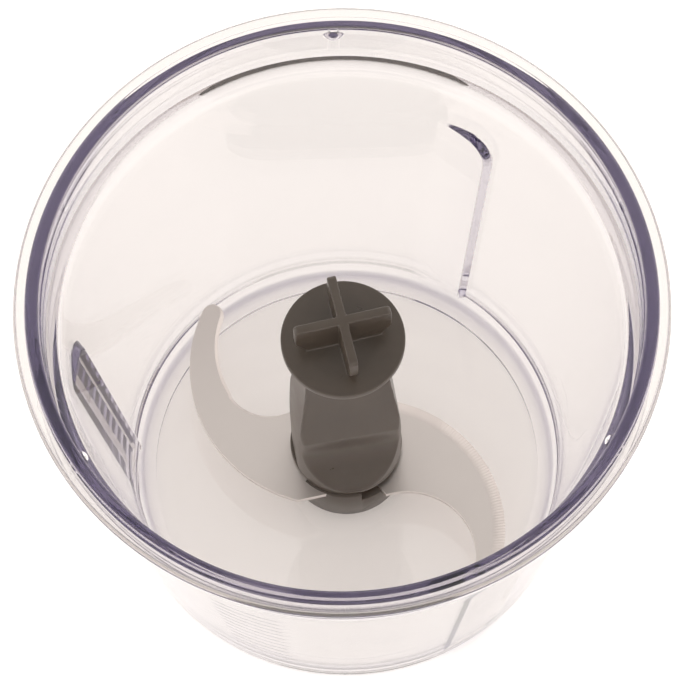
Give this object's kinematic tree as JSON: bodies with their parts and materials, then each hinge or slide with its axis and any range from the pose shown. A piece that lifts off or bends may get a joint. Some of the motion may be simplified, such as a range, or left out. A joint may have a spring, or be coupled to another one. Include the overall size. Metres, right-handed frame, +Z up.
{
  "type": "chopper bowl for an immersion blender",
  "caption": "Clear tapered chopper bowl with a flanged rim, inner wedge ribs and a lift-out spinning blade unit driven by a cross on its hub.",
  "frame": {"origin": "bottom centre of the bowl, on the plane of its foot ring", "axes": "+Z up along the spindle and the bowl's axis; +X to the right and +Y to the back as the bowl is seen from its front"},
  "size_m": [0.1248, 0.1248, 0.0884],
  "materials": {
    "clear_bowl": "clear moulded plastic, polished",
    "spindle_steel": "ground stainless steel",
    "bush_bronze": "plain turned bronze",
    "hub_plastic": "satin moulded taupe plastic",
    "blade_steel": "satin stainless steel"
  },
  "bodies": {
    "base": {"bowl": "clear_bowl", "spindle_pin": "spindle_steel"},
    "bearing": {"bearing_bush": "bush_bronze"},
    "cutter": {"retaining_ring": "hub_plastic", "lower_collar": "hub_plastic", "lower_blade": "blade_steel", "blade_spacer": "hub_plastic", "upper_blade": "blade_steel", "thrust_pad": "bush_bronze", "hub_column": "hub_plastic", "drive_disc": "hub_plastic"}
  },
  "joints": [
    {"name": "blade_lift", "type": "slide", "parent": "base", "child": "bearing", "axis": [0, 0, 1], "range_m": [0, 0.12]},
    {"name": "blade_spin", "type": "hinge", "parent": "bearing", "child": "cutter", "pos_m": [0, 0, 0.0065], "axis": [0, 0, 1], "continuous": true}
  ]
}
